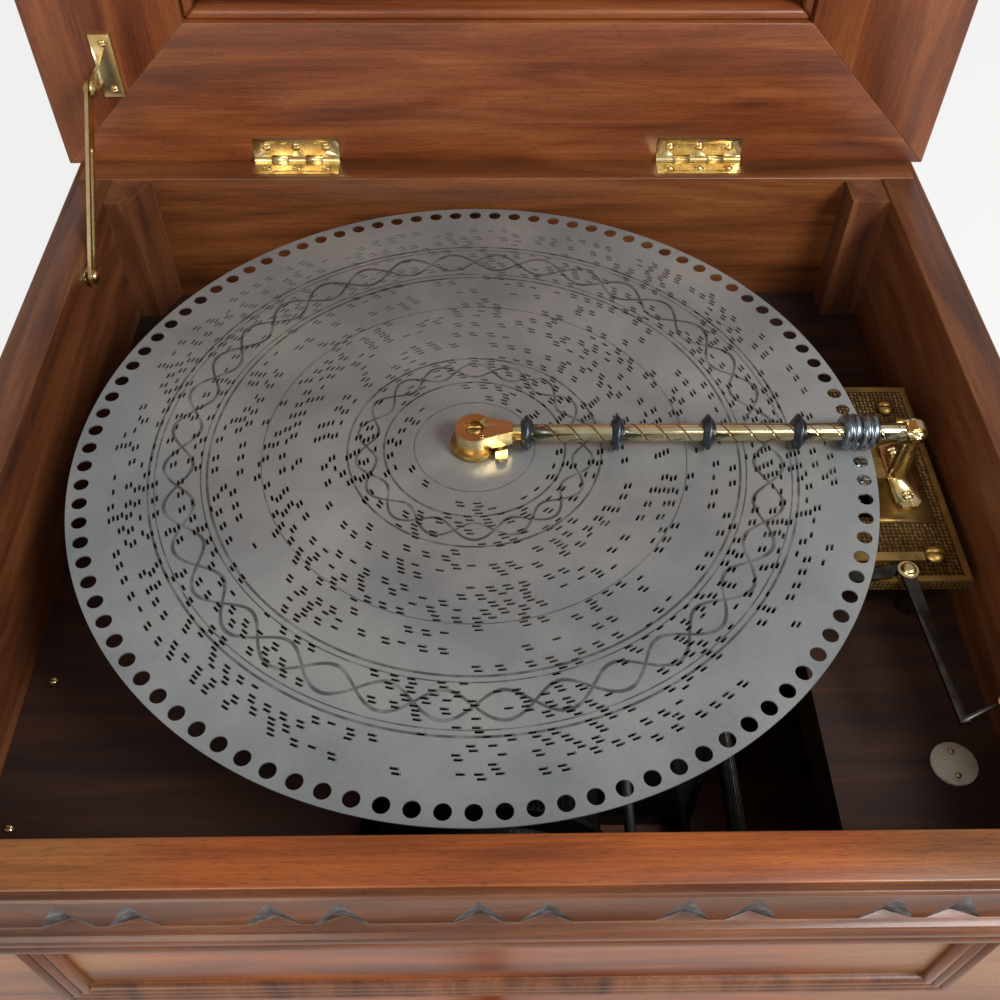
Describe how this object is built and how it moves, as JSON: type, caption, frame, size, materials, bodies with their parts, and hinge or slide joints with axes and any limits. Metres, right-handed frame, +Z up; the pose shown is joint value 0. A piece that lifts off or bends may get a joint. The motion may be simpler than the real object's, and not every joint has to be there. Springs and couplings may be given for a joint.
{
  "type": "disc music box",
  "caption": "Wooden table music box with its lid open: a steel tune disc under a roller arm, combs and a spring motor below, a start lever and a winding crank.",
  "frame": {"origin": "middle of the case's underside, on the surface it stands on", "axes": "+X to the right seen from the front, +Y to the back where the lid is hinged, +Z up"},
  "size_m": [0.531, 0.5777, 0.6796],
  "materials": {
    "case_wood": "satin",
    "inner_wood": "satin",
    "lid_wood": "satin",
    "brass": "satin",
    "steel": "satin",
    "dark_steel": "satin",
    "disc_steel": "satin",
    "iron": "matt",
    "gold_paint": "satin",
    "ivory": "gloss",
    "knob_wood": "polished"
  },
  "bodies": {
    "case": {"bottom_board": "inner_wood", "front_wall": "case_wood", "back_wall": "case_wood", "side_walls": "case_wood", "inner_strips": "inner_wood", "deck_boards": "inner_wood", "notched_moulding": "case_wood", "panel_frames": "case_wood", "plinth": "case_wood", "hinge_case_leaves": "brass", "bedplate": "gold_paint", "steel_screws": "dark_steel", "arm_post": "brass", "brass_screws": "brass", "comb_blocks": "iron", "combs": "steel", "star_shaft": "steel", "star_wheels": "brass", "spindle": "steel", "shaft_bearings": "brass", "motor_frame": "iron", "governor_cock": "brass", "lever_plate": "ivory", "detent_bar": "brass"},
    "lid": {"lid_frame": "lid_wood", "lid_bead": "lid_wood", "lid_panel": "lid_wood", "lid_sides": "case_wood", "lid_top": "case_wood", "hinge_lid_leaves": "brass", "lid_screws": "brass", "stay_bracket": "brass"},
    "stay": {"stay_bar": "brass", "stay_screw_head": "brass"},
    "disc": {"tune_disc": "disc_steel"},
    "arm": {"arm_tube": "brass", "arm_head": "brass", "head_screws": "dark_steel", "centre_flange": "brass"},
    "latch": {"latch_lever": "brass"},
    "thin_roller_1": {"roller_1": "dark_steel"},
    "thin_roller_2": {"roller_2": "dark_steel"},
    "thin_roller_3": {"roller_3": "dark_steel"},
    "thin_roller_4": {"roller_4": "dark_steel"},
    "broad_roller_1": {"wide_roller_1": "dark_steel"},
    "broad_roller_2": {"wide_roller_2": "dark_steel"},
    "sprocket_body": {"sprocket": "steel"},
    "drive": {"drive_shaft": "steel"},
    "cross": {"cross_shaft": "steel"},
    "barrel": {"spring_barrel": "iron", "great_wheel": "brass", "mainspring": "dark_steel"},
    "fan": {"fan_arbor": "steel"},
    "fly_body": {"fly": "brass"},
    "winding": {"winding_arbor": "steel"},
    "hand_crank": {"crank": "iron"},
    "knob": {"crank_knob": "knob_wood"},
    "click": {"ratchet_click": "steel"},
    "lever": {"start_lever": "dark_steel", "lever_knob": "brass"}
  },
  "joints": [
    {"name": "lid_hinge", "type": "hinge", "parent": "case", "child": "lid", "pos_m": [0, 0.2234, 0.2224], "axis": [-1, 0, 0], "range_deg": [-90, 0]},
    {"name": "stay_pivot", "type": "hinge", "parent": "lid", "child": "stay", "pos_m": [-0.2303, 0.2058, 0.2791], "axis": [-1, 0, 0], "range_deg": [0, 139]},
    {"name": "disc_spin", "type": "hinge", "parent": "case", "child": "disc", "pos_m": [-0.0144, 0.0025, 0.2027], "axis": [0, 0, 1], "continuous": true},
    {"name": "arm_hinge", "type": "hinge", "parent": "case", "child": "arm", "pos_m": [0.2036, 0.0025, 0.2125], "axis": [0, 1, 0], "range_deg": [0, 95]},
    {"name": "latch_pivot", "type": "hinge", "parent": "arm", "child": "latch", "pos_m": [-0.002, -0.0011, 0.2058], "axis": [0, 0, 1], "range_deg": [0, 35]},
    {"name": "thin_roller_1_spin", "type": "hinge", "parent": "arm", "child": "thin_roller_1", "pos_m": [0.0113, 0.0025, 0.2125], "axis": [1, 0, 0], "continuous": true},
    {"name": "thin_roller_2_spin", "type": "hinge", "parent": "arm", "child": "thin_roller_2", "pos_m": [0.0559, 0.0025, 0.2125], "axis": [1, 0, 0], "continuous": true},
    {"name": "thin_roller_3_spin", "type": "hinge", "parent": "arm", "child": "thin_roller_3", "pos_m": [0.1005, 0.0025, 0.2125], "axis": [1, 0, 0], "continuous": true},
    {"name": "thin_roller_4_spin", "type": "hinge", "parent": "arm", "child": "thin_roller_4", "pos_m": [0.1451, 0.0025, 0.2125], "axis": [1, 0, 0], "continuous": true},
    {"name": "broad_roller_1_spin", "type": "hinge", "parent": "arm", "child": "broad_roller_1", "pos_m": [0.1706, 0.0025, 0.2125], "axis": [1, 0, 0], "continuous": true},
    {"name": "broad_roller_2_spin", "type": "hinge", "parent": "arm", "child": "broad_roller_2", "pos_m": [0.1794, 0.0025, 0.2125], "axis": [1, 0, 0], "continuous": true},
    {"name": "sprocket_spin", "type": "hinge", "parent": "case", "child": "sprocket_body", "pos_m": [0.1763, 0.0025, 0.18022], "axis": [1, 0, 0], "continuous": true},
    {"name": "drive_spin", "type": "hinge", "parent": "case", "child": "drive", "pos_m": [0.1463, 0.0025, 0.14952], "axis": [1, 0, 0], "continuous": true},
    {"name": "cross_spin", "type": "hinge", "parent": "case", "child": "cross", "pos_m": [0.05257, -0.1, 0.14952], "axis": [0, 1, 0], "continuous": true},
    {"name": "barrel_spin", "type": "hinge", "parent": "case", "child": "barrel", "pos_m": [-0.008, -0.15, 0.1265], "axis": [0, 1, 0], "continuous": true},
    {"name": "fan_spin", "type": "hinge", "parent": "case", "child": "fan", "pos_m": [0.08021, -0.1, 0.13949], "axis": [0, 1, 0], "continuous": true},
    {"name": "fly_spin", "type": "hinge", "parent": "case", "child": "fly_body", "pos_m": [0.09101, -0.1, 0.15819], "axis": [0, 1, 0], "continuous": true},
    {"name": "crank_spin", "type": "hinge", "parent": "case", "child": "hand_crank", "pos_m": [-0.008, -0.24, 0.0665], "axis": [0, 1, 0], "continuous": true},
    {"name": "winding_spin", "type": "hinge", "parent": "case", "child": "winding", "pos_m": [-0.008, -0.19, 0.1265], "axis": [0, 1, 0], "continuous": true},
    {"name": "knob_spin", "type": "hinge", "parent": "hand_crank", "child": "knob", "pos_m": [-0.008, -0.26, 0.0165], "axis": [0, 1, 0], "continuous": true},
    {"name": "click_pivot", "type": "hinge", "parent": "case", "child": "click", "pos_m": [0.014, -0.19, 0.1385], "axis": [0, 1, 0], "range_deg": [0, 15]},
    {"name": "lever_pivot", "type": "hinge", "parent": "case", "child": "lever", "pos_m": [0.1935, -0.059, 0.179], "axis": [0, 0, 1], "range_deg": [-6, 0]}
  ],
  "couplings": [
    {"joint": "stay_pivot", "follows": "lid_hinge", "ratio": -1.541},
    {"joint": "thin_roller_1_spin", "follows": "disc_spin", "ratio": 2.8876},
    {"joint": "thin_roller_2_spin", "follows": "disc_spin", "ratio": 7.8989},
    {"joint": "thin_roller_3_spin", "follows": "disc_spin", "ratio": 12.91},
    {"joint": "thin_roller_4_spin", "follows": "disc_spin", "ratio": 17.921},
    {"joint": "broad_roller_1_spin", "follows": "disc_spin", "ratio": 20.787},
    {"joint": "broad_roller_2_spin", "follows": "disc_spin", "ratio": 21.775},
    {"joint": "sprocket_spin", "follows": "disc_spin", "ratio": -8.3333},
    {"joint": "drive_spin", "follows": "disc_spin", "ratio": 4.1667},
    {"joint": "cross_spin", "follows": "disc_spin", "ratio": 4.1667},
    {"joint": "barrel_spin", "follows": "disc_spin", "ratio": -0.59524},
    {"joint": "fan_spin", "follows": "disc_spin", "ratio": -25},
    {"joint": "fly_spin", "follows": "disc_spin", "ratio": 125},
    {"joint": "winding_spin", "follows": "crank_spin", "ratio": -0.53846}
  ]
}
